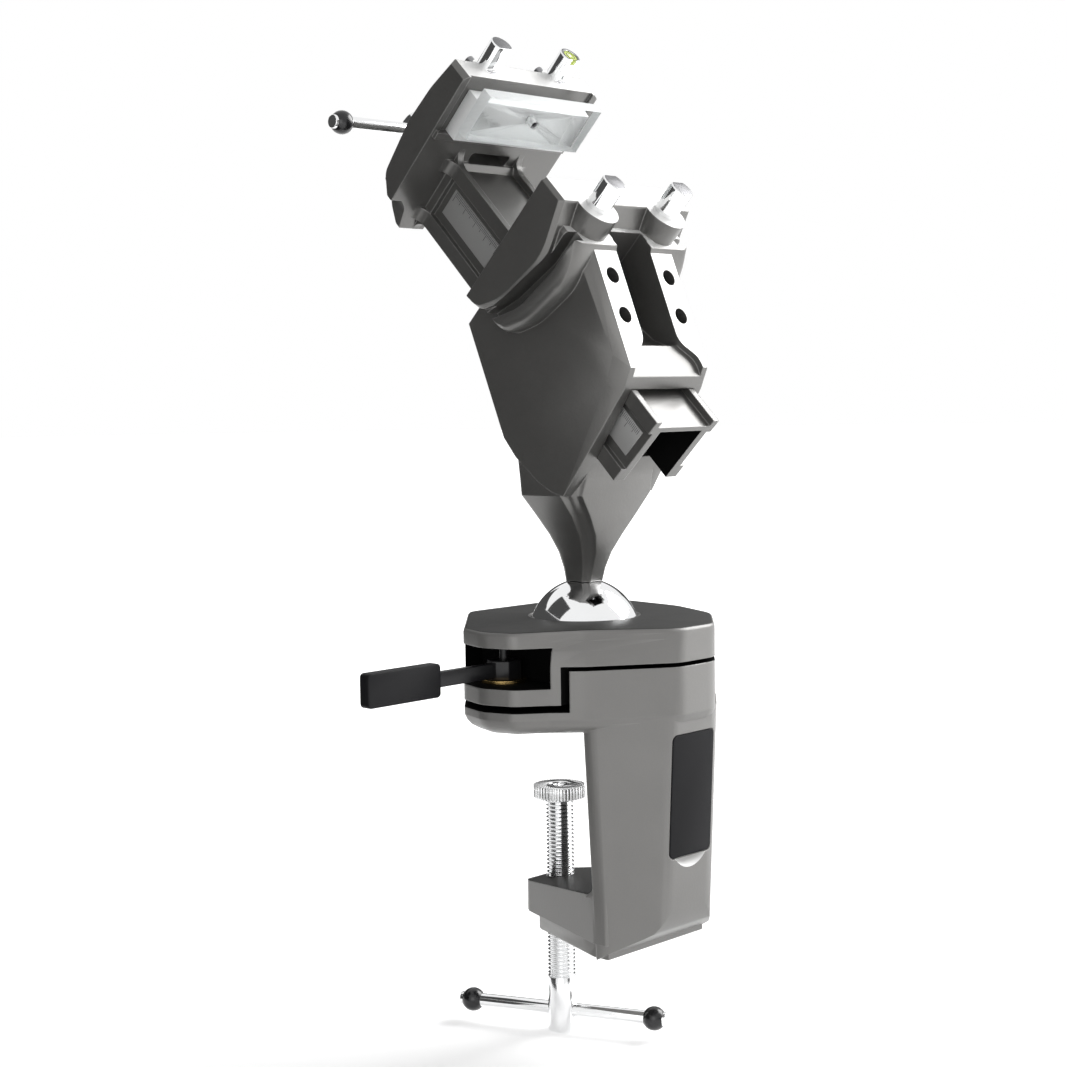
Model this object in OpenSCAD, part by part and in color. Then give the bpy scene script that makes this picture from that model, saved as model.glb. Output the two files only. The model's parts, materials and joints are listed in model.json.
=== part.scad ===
// Bench vise on a ball joint: a small vise head that tilts and turns on a ball,
// held by a lever-clamped socket in a screw clamp for the bench edge.
// Units are millimetres. The origin is on the bench screw's axis, in the face
// that rests on the bench. +Z is up and +Y leaves the clamp's throat.

/* [Ball joint] */
// Diameter of the ball
ball_d = 55; // [48:1:57]
// Height of the ball's centre above the bench seat
ball_h = 38.5; // [37:0.5:45]
// Distance from the ball's axis to the bench screw's axis
screw_offset = 18.5; // [16:0.5:22]
// Gap between the ball and what it turns in
ball_gap = 0.3; // [0.2:0.05:0.5]
// Wall of the seat ring under the ball
seat_wall = 2.5; // [2:0.1:3]
// Diameter of the neck's spigot in the ball
spigot_d = 12; // [8:0.5:13]
// Radial gap of the parts that turn or slide on each other
run_gap = 0.05; // [0.03:0.01:0.09]

/* [Base] */
// Top of the socket cap above the ball's centre
cap_top = 9.5; // [8:0.5:11]
// Height of the cap's upper part
cap_h = 16.2; // [15:0.2:18]
// Width of the slit between cap and frame
slit_h = 2; // [1.5:0.1:2.5]
// Width of the wider slit under the lever
lever_slit_h = 3.4; // [2.5:0.1:4]
// Depth of the cap's lever lobe below the ball's centre
lobe_depth = 24.6; // [23:0.2:26]
// Half width of the base without the lever lobe
base_half_w = 64; // [62:0.5:68]
// Reach of the lever lobe from the ball's axis
lobe_reach = 80; // [78:0.5:82]
// Rounding of the frame's lower edge
foot_round = 7; // [4:0.5:8]

/* [Clamp frame] */
// Distance from the ball's axis to the throat's inner face
throat_face = 39; // [36:0.5:42]
// Distance from the ball's axis to the frame's back
back_face = 69.6; // [68:0.1:73]
// Half width of the frame's column at the bench seat
column_half_w = 45.5; // [43:0.1:47]
// Taper of the column's sides in degrees
column_taper = 3.7; // [3:0.1:5]
// Depth of the throat below the bench seat
throat_h = 79; // [76:1:84]
// Slope of the arm's top down to its tip in degrees
arm_slope = 6.8; // [5:0.1:9]
// Thickness of the arm at its tip
arm_h = 15.2; // [14:0.2:20]
// Half width of the arm at its tip
arm_tip_half_w = 17.3; // [15:0.1:20]
// Reach of the arm's tip past the bench screw
arm_tip_reach = 9.7; // [9:0.1:14]
// Height of the frame below the bench seat
frame_depth = 110; // [108:1:118]

/* [Bench screw] */
// Thread diameter of the bench screw
bench_screw_d = 14; // [12:0.5:16]
// Thread pitch of the bench screw
bench_pitch = 2; // [1.5:0.25:2.5]
// Open height between bench seat and pad
bench_gap = 39.5; // [30:0.5:60]
// Diameter of the pad
pad_d = 26.3; // [22:0.1:28]
// Thickness of the pad
pad_h = 6.3; // [6:0.1:8]
// Distance from the pad's top to the hub
screw_len = 98; // [94:1:110]
// Diameter of the hub
bench_hub_d = 14.4; // [13.6:0.1:16]
// Length of the hub
bench_hub_len = 28.5; // [24:0.5:32]

/* [Handles] */
// Diameter of the cross handles
handle_d = 7; // [6:0.1:8]
// Diameter of the handle balls
handle_ball_d = 12; // [11:0.5:14]
// Distance between the balls of the bench screw's handle
bench_handle_span = 98; // [90:1:120]
// Distance between the balls of the vise screw's handle
vise_handle_span = 110; // [95:1:125]
// Turn of the bench handle about its screw in degrees
bench_handle_turn = 113; // [0:1:180]

/* [Lever] */
// Diameter of the lever's stud
stud_d = 10; // [8:0.5:10]
// Distance from the ball's axis to the stud
stud_offset = 57; // [56:0.5:58.5]
// Length of the bare arm
lever_arm_len = 45; // [39:1:50]
// Length of the grip
grip_len = 42; // [36:1:50]
// Height of the grip
grip_h = 15.7; // [13:0.1:17]
// Thickness of the grip
grip_t = 6; // [5.6:0.1:8]

/* [Vise head] */
// Tilt of the slide above the horizontal in degrees
head_angle = 45; // [43:1:47]
// Half width of the body
body_half_w = 32.5; // [31:0.5:34]
// Distance along the slide from the ball to the fixed jaw's face
jaw_face = 140.7; // [138:0.1:144]
// Height of the jaws' top above the bar's centre line
jaw_rise = 66.6; // [65:0.2:69]
// Half width of the fixed jaw
jaw_half_w = 46.5; // [44:0.5:48]
// Jaw opening between the plates in the resting pose
opening = 57.3; // [40:0.1:60]
// Diameter of the work pins
pin_d = 12; // [10:0.5:13]
// Half the distance between two work pins
pin_half_gap = 24.5; // [22:0.5:27]
// Height of the work pins above the jaws
pin_rise = 15.4; // [10:0.2:20]
// Slope of the rails on the body in degrees
rail_slope = 23.3; // [22:0.1:25]
// Diameter of the four holes in the rails
rail_hole_d = 8.2; // [5:0.1:10]
// Distance between the holes along a rail
rail_hole_step = 20.1; // [16:0.1:22]
// Half the distance between the rails' hole rows
rail_hole_half_gap = 20.4; // [19:0.1:21.5]

/* [Slide bar] */
// Half width of the bar
bar_half_w = 22.8; // [22:0.1:23.5]
// Half height of the bar
bar_half_h = 19.1; // [18:0.1:20]
// Height of the bar's centre line
bar_t = 102.8; // [102:0.1:104]
// Height of the bar's corner ribs
rib_h = 7.4; // [6:0.1:9]
// Depth of the recess between the ribs
rib_depth = 3; // [1:0.1:3.5]
// Gap between the bar and the body
slide_gap = 0.3; // [0.2:0.05:0.6]
// Length of the bar behind the fixed jaw's face
bar_tail = 114.2; // [108:0.2:118]

/* [Vise screw] */
// Thread diameter of the vise screw
vise_screw_d = 12; // [10:0.5:13]
// Thread pitch of the vise screw
vise_pitch = 3; // [2:0.25:4]
// Diameter of the vise screw's hub
vise_hub_d = 16; // [15:0.2:20]

/* [Jaw plates] */
// Half width of the plates
plate_half_w = 39; // [36:0.5:40]
// Thickness of the fixed jaw's plate
fixed_plate_t = 5; // [4:0.1:6]
// Height by which the fixed jaw's plate stands proud of the jaw
fixed_plate_proud = 0.5; // [0.3:0.1:1]
// Thickness of the moving jaw's insert
insert_t = 8.3; // [7:0.1:9.5]
// Thickness of the clear plate
clear_t = 6.7; // [5:0.1:7]
// Height of the clear plate
clear_h = 26; // [22:0.5:28]
// Diameter of the plates' screw holes
plate_hole_d = 4.7; // [3.5:0.1:6]

/* [Hidden] */
$fn = 64;
far = 400;
touch = 0.01;

// Ball and socket
ball_r = ball_d / 2;
seat_in_r = ball_r + ball_gap;
seat_out_r = seat_in_r + seat_wall;
cap_bottom = cap_top - cap_h;
frame_top = cap_bottom - slit_h;
bench_z = -ball_h;
lobe_bottom = -lobe_depth;
seat_top = frame_top - 0.6;
seat_bottom = -22;

// Lever window in the cap
window_top = 2;
window_bottom = -17;
window_back = -34.5;
window_front = 26;
window_inner = -45.5;
notch_inner = -36;
notch_back = -38;
notch_side_gap = 2.9;
washer_h = 1.5;
washer_d = 21.4;
hub_d = 17;
hub_h = 9;
hub_bottom = window_bottom + washer_h;

// Clamp frame, in the ball's frame
throat_bottom = bench_z - throat_h;
arm_tip_drop = (screw_offset + arm_tip_reach + throat_face) * tan(arm_slope);
arm_bottom = throat_bottom - arm_tip_drop - arm_h;
column_back_w = 16.5;
frame_bottom = bench_z - frame_depth;
label_w = 30;
label_h = 59;
label_t = 1;
label_z = -71;
scoop_r = 16;
back_draft = 2.8;

// Bench screw, in the row's own frame
pad_top = -bench_gap;
hub_top = pad_top - screw_len;
bench_handle_z = hub_top - 0.63 * bench_hub_len;
pad_spigot_d = 8;
pad_screw_head_d = 11;
pad_screw_head_h = 3.5;

// Head, in its own frame: X across, Y along the slide, Z across the slide and up
jaw_top = bar_t + jaw_rise;
moving_face = jaw_face + fixed_plate_proud + opening + clear_t + insert_t;
bar_end = jaw_face - bar_tail;
bar_top = bar_t + bar_half_h;
bar_bottom = bar_t - bar_half_h;
rail_s0 = 76.7;
rail_t0 = 142.8;
fixed_pin_s = jaw_face - 19.2;
moving_pin_s = moving_face + 9.5;
pin_depth = 24;
pin_screw_t = jaw_top - 4.4;
pin_flat = 0.66 * pin_d / 2;
boss_r = pin_d / 2 + 5.5;
ledge_low = bar_top + 12.4;
ledge_top = ledge_low + 4;
insert_low = ledge_top;
insert_high = jaw_top - 6.4;
bar_wall = 4.6;
bar_roof = 6.3;
bar_inner_w = bar_half_w - rib_depth - bar_wall;
top_recess = 3.5;
rib_w = 3.8;
top_recess_w = bar_half_w - rib_w;
flare_out = 6;
flare_up = 7;
foot_low = bar_bottom - flare_up - 0.2;
foot_half_w = bar_half_w + 9.2;
window_low = bar_top - 0.4;
window_w = bar_half_w - 9.3;
clear_low = jaw_top + 0.6 - clear_h;
plate_hole_t = clear_low + 0.5 * clear_h;
fixed_plate_low = jaw_top - 36.4;
fixed_plate_high = jaw_top - 8;
fixed_plate_s = jaw_face + fixed_plate_proud - fixed_plate_t;
fixed_hole_t = (fixed_plate_low + fixed_plate_high) / 2;
nut_s = 100;
nut_half = 8;
screw_root = vise_screw_d - 2.5;
screw_start = 45;
hub_face = moving_face + 18;
hub_len = 37;
vise_handle_s = hub_face + 29;
level_pin_x = pin_half_gap;
vial_d = 8.4;
vial_h = 3;

// Frames
module at_ball() { translate([0, -screw_offset, ball_h]) children(); }
module at_head() { at_ball() rotate([head_angle, 0, 0]) children(); }
module on_rails() { translate([0, rail_s0, rail_t0]) rotate([rail_slope, 0, 0]) children(); }
module along_x(half_w) { rotate([90, 0, 90]) linear_extrude(2 * half_w, center = true) children(); }
module along_s(s0, s1, r) { translate([0, s0, 0]) rotate([-90, 0, 0]) cylinder(h = s1 - s0, r = r); }
module both_sides(x) { for (side = [-1, 1]) translate([side * x, 0, 0]) children(); }

// A block by its limits along X, Y and Z
module block(x0, x1, y0, y1, z0, z1) {
    translate([x0, y0, z0]) cube([x1 - x0, y1 - y0, z1 - z0]);
}

// Outline with rounded corners. A corner is [x, y, radius], and inset draws it smaller
function unit(v) = v / norm(v);
function cross2(a, b) = a.x * b.y - a.y * b.x;
function corner_arc(p, a, b, r, inset, n) =
    let (u = unit(a - p), v = unit(b - p), half = acos(max(-1, min(1, u * v))) / 2,
         middle = p + unit(u + v) * r / sin(half), start = p + u * r / tan(half) - middle,
         turn = cross2(-u, v) > 0 ? 1 : -1, grown = r - turn * inset,
         a0 = atan2(start.y, start.x), sweep = turn * (180 - 2 * half))
    [for (i = [0 : n]) middle + grown * [cos(a0 + sweep * i / n), sin(a0 + sweep * i / n)]];
function outline(c, inset = 0, n = 6) =
    [for (i = [0 : len(c) - 1]) let (k = len(c), q = c[i], a = c[(i + k - 1) % k], b = c[(i + 1) % k])
        each corner_arc([q.x, q.y], [a.x, a.y], [b.x, b.y], q.z, inset, n)];
function raised(points, z) = [for (p = points) [p.x, p.y, z]];

// Closed solid through rings of equal length, listed from the bottom up
module loft(rings) {
    n = len(rings[0]);
    m = len(rings);
    sides = [for (j = [0 : m - 2]) for (i = [0 : n - 1]) let (a = j * n + i, b = j * n + (i + 1) % n)
        each [[a, a + n, b + n], [a, b + n, b]]];
    polyhedron([for (ring = rings) each ring],
        concat([[for (i = [0 : n - 1]) i]], sides, [[for (i = [n - 1 : -1 : 0]) (m - 1) * n + i]]));
}

// Plan of the base, seen from above with the ball's axis at the origin. The waist
// is the hollow between the lever lobe and the back, and grow moves it outwards
function base_plan(grow) = let (back = back_face + 2.5, w = base_half_w) [[-25, 57, 10], [6 - lobe_reach, 10, 12],
    [-lobe_reach, -8, 14], [5 - lobe_reach, -24, 10], [-60 - 2 * grow, -32 - 2 * grow, 12],
    [-44 - 6 * grow, -40 - 7 * grow, 26], [-13, -back, 16], [13, -back, 16], [w - 18, -44, 30], [w - 4, -12, 40],
    [w, 30, 24], [w - 24, 57, 16]];
function base_outline(grow, inset = 0) = outline(base_plan(grow), inset, 9);

module base_slab(z0, z1) { translate([0, 0, z0]) linear_extrude(z1 - z0) polygon(base_outline(1)); }

// Region of the cap's lower lobe round the lever, grown by the slit on its sides
module lobe_region(z0, z1, grow) {
    block(-far, notch_inner + grow, notch_back - grow, far, z0, z1);
}

// Column and arm of the clamp frame
function column_plan(z) =
    let (down = bench_z - z, w = column_half_w - down * tan(column_taper), b = back_face - down * tan(back_draft))
    [[-w, -throat_face, 2], [-w, -throat_face - 7, 10], [-column_back_w, -b, 14], [column_back_w, -b, 14],
     [w, -throat_face - 7, 10], [w, -throat_face, 2]];

module column() {
    difference() {
        loft([raised(outline(column_plan(frame_bottom)), frame_bottom),
            raised(outline(column_plan(bench_z + 8)), bench_z + 8)]);
        // The underside climbs towards the back
        back = -back_face + frame_depth * tan(back_draft);
        along_x(far) polygon([[1 - throat_face, frame_bottom - 1], [1 - throat_face, frame_bottom],
            [-throat_face - 1, frame_bottom], [back + 6, frame_bottom + 10.5], [back + 3, frame_bottom + 12.6],
            [back + 1, frame_bottom + 15.6], [back - 1.3, frame_bottom + 24], [-far, frame_bottom + 24],
            [-far, frame_bottom - 1]]);
    }
}

module arm() {
    reach = screw_offset + arm_tip_reach;
    wide = arm_tip_half_w + (reach + throat_face) * tan(17.9);
    corners = [[arm_tip_half_w - 3, reach, 3], [-arm_tip_half_w + 3, reach, 3], [-arm_tip_half_w, reach - 4, 2],
        [-wide, -throat_face, 1], [-wide, -throat_face - 8, 1], [wide, -throat_face - 8, 1],
        [wide, -throat_face, 1], [arm_tip_half_w, reach - 4, 2]];
    intersection() {
        translate([0, 0, arm_bottom]) linear_extrude(far) polygon(outline(corners));
        along_x(far) polygon([[-far, arm_bottom], [far, arm_bottom], [far, throat_bottom - (far + throat_face) * tan(arm_slope)],
            [-throat_face, throat_bottom], [-far, throat_bottom]]);
    }
    // Web under the arm, round the bench screw
    hull() {
        translate([0, screw_offset, arm_bottom - 10.6]) cylinder(h = 12.6, r = 11, $fn = 32);
        along_x(35) polygon(outline([[-throat_face - 6, arm_bottom + 2, 0.5], [-throat_face - 6, frame_bottom, 0.5],
            [8 - throat_face, frame_bottom, 6], [10 - throat_face, arm_bottom + 2, 0.5]]));
    }
    // Fillet in the throat's corner
    along_x(column_half_w - 7) polygon([[-throat_face - 1, throat_bottom - 2], [6 - throat_face, throat_bottom - 2],
        [3.4 - throat_face, throat_bottom + 0.2], [1.4 - throat_face, throat_bottom + 1.6],
        [0.4 - throat_face, throat_bottom + 4], [-throat_face - 1, throat_bottom + 7]]);
}

module clamp_frame() color("dimgray") at_ball() {
    difference() {
        union() {
            loft([for (step = [[0, 1], [0.3, 0.45], [0.62, 0.16], [1, 0]])
                raised(base_outline(1, foot_round * step[1]), bench_z + foot_round * step[0])]);
            base_slab(bench_z + foot_round - touch, frame_top);
            column();
            arm();
        }
        lobe_region(lobe_bottom - lever_slit_h, far, notch_side_gap);
        sphere(r = seat_out_r + ball_gap, $fn = 96);
        block(-far, far, -far, far, frame_top, far);
        // Hole for the lever's stud
        translate([-stud_offset, 0, bench_z + 4]) cylinder(h = far, r = stud_d / 2);
        cap_screw_places() {
            translate([0, 0, bench_z - 1]) cylinder(h = far, r = 3);
            translate([0, 0, bench_z - touch]) cylinder(h = 7, r = 5.5);
        }
        // Threaded hole for the bench screw
        translate([0, screw_offset, -far]) cylinder(h = far + throat_bottom + 1, r = bench_screw_d / 2 + run_gap);
        on_label() translate([0, 0, -1]) linear_extrude(label_t + 1.2) polygon(outline(label_plan(0.4)));
        // Finger scoop under the label
        difference() {
            on_label() translate([0, -label_h / 2 + 8, -8]) sphere(r = scoop_r);
            block(-far, far, -far, far, label_z - label_h / 2 - 0.4, far);
        }
    }
}

// The label follows the slope of the back: X across, Y up it and Z into the frame
module on_label() {
    translate([0, -back_face + (bench_z - label_z) * tan(back_draft), label_z]) rotate([90 + back_draft, 0, 0])
        mirror([0, 0, 1]) children();
}
function label_plan(grow) = let (w = label_w / 2 + grow, h = label_h / 2 + grow)
    [[w, h, 3], [-w, h, 3], [-w, -h, 3], [w, -h, 3]];

module label_plate() color([0.13, 0.13, 0.14]) at_ball() on_label()
    translate([0, 0, 0.2]) linear_extrude(label_t) polygon(outline(label_plan(0)));

module cap_screw_places() {
    for (y = [28, -12]) translate([base_half_w - 18, y, 0]) children();
}

module cap_screws() color("silver") at_ball() cap_screw_places() {
    translate([0, 0, bench_z + 0.6]) difference() {
        cylinder(h = 6.4 - touch, r = 5);
        translate([0, 0, -touch]) cylinder(h = 3.5, r = 2.9, $fn = 6);
    }
    translate([0, 0, bench_z + 7 - 2 * touch]) cylinder(h = cap_bottom + 9 - bench_z - 7, r = 2.95);
}

module socket_cap() color("dimgray") at_ball() {
    edge = 2;
    difference() {
        union() {
            loft(concat([for (step = [[0, 1], [0.5, 0.8], [0.8, 0.45]])
                raised(base_outline(step[1]), cap_bottom + (cap_h - edge) * step[0])],
                [for (a = [0, 30, 60, 90])
                raised(base_outline(0.2, edge * (1 - cos(a))), cap_top - edge + edge * sin(a))]));
            intersection() {
                base_slab(lobe_bottom, cap_bottom + touch);
                lobe_region(lobe_bottom, cap_bottom + touch, 0);
            }
        }
        sphere(r = seat_in_r, $fn = 96);
        translate([0, 0, cap_top - 2]) cylinder(h = 3, r1 = ball_r - 1.6, r2 = ball_r + 1.4);
        block(-far, window_inner, window_back, window_front, window_bottom, window_top);
        translate([-stud_offset, 0, lobe_bottom - 1]) cylinder(h = 20, r = stud_d / 2 + 0.4);
        cap_screw_places() translate([0, 0, cap_bottom - 1]) cylinder(h = 11, r = 3);
    }
}

module ball_seat() color("khaki") at_ball() difference() {
    sphere(r = seat_out_r, $fn = 96);
    sphere(r = seat_in_r, $fn = 96);
    block(-far, far, -far, far, seat_top, far);
    block(-far, far, -far, far, -far, seat_bottom);
}

module lever_stud() color("silver") at_ball() translate([-stud_offset, 0, 0]) {
    translate([0, 0, bench_z + 4]) cylinder(h = hub_bottom + hub_h - 0.5 - bench_z - 4, r = stud_d / 2 - run_gap);
    translate([0, 0, hub_bottom]) cylinder(h = window_top - hub_bottom - 0.1, r = 2.2);
}

module lever_washer() color("goldenrod") at_ball() translate([-stud_offset, 0, window_bottom]) difference() {
    cylinder(h = washer_h, r = washer_d / 2);
    translate([0, 0, -1]) cylinder(h = washer_h + 2, r = stud_d / 2 + 0.3);
}

// Hub and bare arm in one, with a tongue inside the grip
module lever_arm() color([0.16, 0.16, 0.17]) at_ball() translate([-stud_offset, 0, hub_bottom]) difference() {
    union() {
        cylinder(h = hub_h, r = hub_d / 2, $fn = 6);
        block(-lever_arm_len - grip_len * 0.6, -hub_d / 2 + 2, -2, 2, 1, 8);
    }
    translate([0, 0, -1]) cylinder(h = hub_h + 2, r = stud_d / 2);
}

module lever_grip() color([0.1, 0.1, 0.11]) at_ball() translate([-stud_offset, 0, hub_bottom + 4.5]) difference() {
    translate([-lever_arm_len - grip_len, 0, 0]) hull() {
        for (x = [1, grip_len - 1]) for (z = [-1, 1])
            translate([x, 0, z * (grip_h / 2 - 2)]) rotate([90, 0, 0]) cylinder(h = grip_t, r = 2, center = true, $fn = 32);
    }
    block(-lever_arm_len - grip_len * 0.6, 0, -2, 2, -3.5, 3.5);
}

// Cross handle: a bar through a hub, with a ball pushed on each end
module handle_bar(span) {
    rotate([0, 90, 0]) cylinder(h = span + handle_ball_d + 1.2, r = handle_d / 2, center = true);
}

module handle_balls(span) {
    for (side = [-1, 1]) translate([side * span / 2, 0, 0]) rotate([0, 90, 0])
        rotate_extrude() difference() {
            circle(r = handle_ball_d / 2, $fn = 48);
            translate([-handle_ball_d, 0]) square(2 * [handle_ball_d, handle_ball_d], center = true);
            square([handle_d, 2 * handle_ball_d], center = true);
        }
}

// Turned thread as a row of grooves from z0 to z1, full diameter d
module grooved_rod(d, pitch, z0, z1) {
    depth = pitch * 0.42;
    turns = floor((z1 - z0 - pitch) / pitch);
    rotate_extrude() polygon(concat([[0, z0], [d / 2 - depth, z0]],
        [for (i = [0 : turns - 1]) each [[d / 2 - depth, z0 + pitch * (i + 0.5)], [d / 2, z0 + pitch * (i + 1)]]],
        [[d / 2 - depth, z0 + pitch * (turns + 0.5)], [d / 2 - depth, z1], [0, z1]]));
}

module bench_screw() color("silver") difference() {
    union() {
        grooved_rod(bench_screw_d, bench_pitch, hub_top - 1, pad_top - pad_h - 0.1);
        translate([0, 0, hub_top - bench_hub_len]) cylinder(h = bench_hub_len, r = bench_hub_d / 2);
        translate([0, 0, pad_top - pad_h - 0.2]) cylinder(h = pad_h - pad_screw_head_h, r = pad_spigot_d / 2);
    }
    translate([0, 0, bench_handle_z]) rotate([0, 90, bench_handle_turn])
        cylinder(h = far, r = handle_d / 2 + run_gap, center = true);
    translate([0, 0, pad_top - 20]) cylinder(h = 21, r = 2.5);
}

module bench_pad() color("lightgray") difference() {
    translate([0, 0, pad_top - pad_h]) cylinder(h = pad_h, r = pad_d / 2);
    translate([0, 0, pad_top - pad_h - 1]) cylinder(h = pad_h + 2, r = pad_spigot_d / 2 + run_gap);
    translate([0, 0, pad_top - pad_screw_head_h]) cylinder(h = 5, r = pad_screw_head_d / 2 + run_gap);
    flutes = 48;
    for (i = [0 : flutes - 1]) rotate([0, 0, 360 / flutes * i])
        translate([pad_d / 2 + 0.2, 0, pad_top - pad_h - 1]) cylinder(h = pad_h + 2, r = 0.62, $fn = 16);
}

module pad_screw() color("gray") translate([0, 0, pad_top - pad_screw_head_h]) difference() {
    union() {
        translate([0, 0, 0.1]) cylinder(h = pad_screw_head_h - 0.3, r = pad_screw_head_d / 2);
        translate([0, 0, -12]) cylinder(h = 12.2, r = 2.45);
    }
    translate([0, 0, 1.2]) cylinder(h = 5, r = 3.2, $fn = 6);
}

module bench_handle_bar() color("silver") translate([0, 0, bench_handle_z]) rotate([0, 0, bench_handle_turn])
    handle_bar(bench_handle_span);

module bench_handle_balls() color([0.05, 0.05, 0.05]) translate([0, 0, bench_handle_z])
    rotate([0, 0, bench_handle_turn]) handle_balls(bench_handle_span);

module ball() color("gainsboro") at_ball() difference() {
    sphere(r = ball_r, $fn = 96);
    translate([0, 0, -8]) cylinder(h = far, r = spigot_d / 2 + run_gap);
}

// Hardened pin that carries the neck in the ball
module neck_pin() color("silver") at_ball() translate([0, 0, -7.8])
    cylinder(h = 57.8, r = spigot_d / 2);

// Neck: sections that widen upwards from the ball, with a hollow along both back corners
function neck_ring(z, half_x, back, front, g) =
    raised(outline([[half_x, -back + g, 0.3], [half_x, front, 3], [-half_x, front, 3], [-half_x, -back + g, 0.3],
        [-half_x + 0.35 * g, -back + 0.9 * g, 0.7 * g], [-half_x + 0.9 * g, -back + 0.35 * g, 0.7 * g],
        [-half_x + g, -back, 0.3], [half_x - g, -back, 0.3], [half_x - 0.9 * g, -back + 0.35 * g, 0.7 * g],
        [half_x - 0.35 * g, -back + 0.9 * g, 0.7 * g]], 0, 4), z);

module neck() {
    loft([neck_ring(18, 6.9, 6.6, 6.4, 1.9), neck_ring(25, 7.1, 7.6, 6.8, 2.4),
        neck_ring(33, 8.2, 10.2, 7.6, 3.6), neck_ring(41, 10.6, 13.4, 8.6, 4.8),
        neck_ring(50, 15.5, 17.2, 10.2, 5.6), neck_ring(60, 23.5, 20.2, 11.5, 6.4),
        neck_ring(70, 32.3, 22.4, 12.5, 7.5), neck_ring(78, 32.4, 24.5, 13.2, 8.5),
        neck_ring(92, 32.4, 27.5, 15, 9)]);
}

// Side profiles of the body, along the slide and across it
function body_side() = [[jaw_face, 76.8], [jaw_face, 149.5], [109.6, 149.5], [61.6, 131.5], [54.6, 117.5],
    [37.6, 61.5], [44.6, 57.5], [54.6, 54.5], [72.6, 52.5], [84.6, 53.5], [104.6, 63]];
function body_middle() = [[jaw_face, 76.8], [jaw_face, 158.4], [113, 158.4], [52.3, 132.3], [48.2, 122.5],
    [37, 61.5], [44.6, 57.5], [54.6, 54.5], [72.6, 52.5], [84.6, 53.5], [104.6, 63]];

// Plan of the pocket between the rails, on the rails' own plane
function pocket_plan() = [[12.5, 60, 2], [-12.5, 60, 2], [-12.5, -13, 9], [-24.7, -22, 9], [-24.7, -40, 1],
    [24.7, -40, 1], [24.7, -22, 9], [12.5, -13, 9]];
// Deep part of the pocket, along the slide and down
function pocket_floor() = [[118, 175], [118, 126], [84, 126], [76, 127.2], [69, 130.5], [63, 136], [63, 175]];

// Jaw flange in side view: the back is a bow, and grow moves it back
function flange_side(back, top, bottom, grow) = [[jaw_face, top, 0.5], [back + 7 - grow, top, 1],
    [back - 2.5 - grow, 142, 30], [back + 4 - grow, 110, 40], [back + 13 - grow, 96 - grow * 0.4, 8],
    [jaw_face, bottom, 0.5]];

module flange() {
    edge = 1.8;
    hull() {
        along_x(jaw_half_w) polygon(outline(flange_side(119, jaw_top - edge, 95, 0)));
        along_x(jaw_half_w - edge) polygon(outline(flange_side(119, jaw_top, 95, 2)));
    }
    // Rib behind the flange, with a round edge
    hull() {
        along_x(42) polygon(outline(flange_side(105.5, 156, 96, 0)));
        along_x(40.6) polygon(outline(flange_side(105.5, 158, 96, 2.4)));
        along_x(37) polygon(outline(flange_side(105.5, 158, 96, 4.4)));
    }
}

module vise_body() color([0.42, 0.42, 0.41]) difference() {
    union() {
        at_ball() neck();
        at_head() {
            hull() {
                along_x(body_half_w) polygon(body_side());
                along_x(28) polygon(body_middle());
            }
            difference() {
                flange();
                // Deep groove between the rib and the flange
                both_sides(34.5 + far / 2) along_x(far / 2) polygon(outline(groove_side()));
            }
            both_sides(pin_half_gap) translate([0, fixed_pin_s, 150]) cylinder(h = jaw_top - 150, r = boss_r);
        }
    }
    at_ball() sphere(r = ball_r + ball_gap, $fn = 96);
    at_ball() cylinder(h = 50.5, r = spigot_d / 2);
    at_head() {
        // Way for the slide bar
        block(-bar_half_w - slide_gap, bar_half_w + slide_gap, 0, far, bar_bottom - slide_gap, bar_top + slide_gap);
        // Pocket and shelf between the rails
        intersection() {
            on_rails() translate([0, 0, -far / 2]) linear_extrude(far) polygon(outline(pocket_plan()));
            union() {
                along_x(30) polygon(pocket_floor());
                on_rails() block(-30, 30, -40, -6, -3.3, 60);
            }
        }
        on_rails() for (step = [0, 1]) both_sides(rail_hole_half_gap)
            translate([0, step * rail_hole_step, -9]) cylinder(h = 20, r = rail_hole_d / 2);
        both_sides(pin_half_gap) translate([0, fixed_pin_s, jaw_top - pin_depth])
            cylinder(h = far, r = pin_d / 2);
        both_sides(pin_half_gap) translate([0, 0, pin_screw_t]) along_s(fixed_pin_s, jaw_face + 1, 2.5);
        // Seat of the fixed jaw's plate
        block(-plate_half_w, plate_half_w, fixed_plate_s, far, fixed_plate_low, fixed_plate_high);
        translate([0, 0, fixed_hole_t]) along_s(fixed_plate_s - 8.5, far, plate_hole_d / 2);
        // Seat and screw hole of the nut
        translate([0, nut_s, -far]) cylinder(h = far + bar_t, r = 4);
        translate([0, nut_s, 0]) cylinder(h = bar_bottom - 9, r = 7);
    }
}

function groove_side() = [[111, 200, 1], [109.5, 140, 30], [114, 112, 30], [127, 90, 1], [130, 90, 1],
    [122, 112, 30], [115.8, 140, 30], [117, 200, 1]];

module fixed_jaw_insert() color([0.3, 0.3, 0.3]) at_head() difference() {
    block(-plate_half_w, plate_half_w, fixed_plate_s, jaw_face + fixed_plate_proud, fixed_plate_low, fixed_plate_high);
    translate([0, 0, fixed_hole_t]) along_s(fixed_plate_s - 1, far, plate_hole_d / 2);
}

// Socket screw of a jaw plate, from its tip at s0 to its head at s1
module plate_screw(s0, s1) {
    tip = min(s0, s1);
    difference() {
        along_s(tip, max(s0, s1), plate_hole_d / 2 - 0.05);
        translate([0, s1, 0]) rotate([90, 0, 0]) cylinder(h = 4, r = 1.4, center = true, $fn = 6);
    }
}

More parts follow.
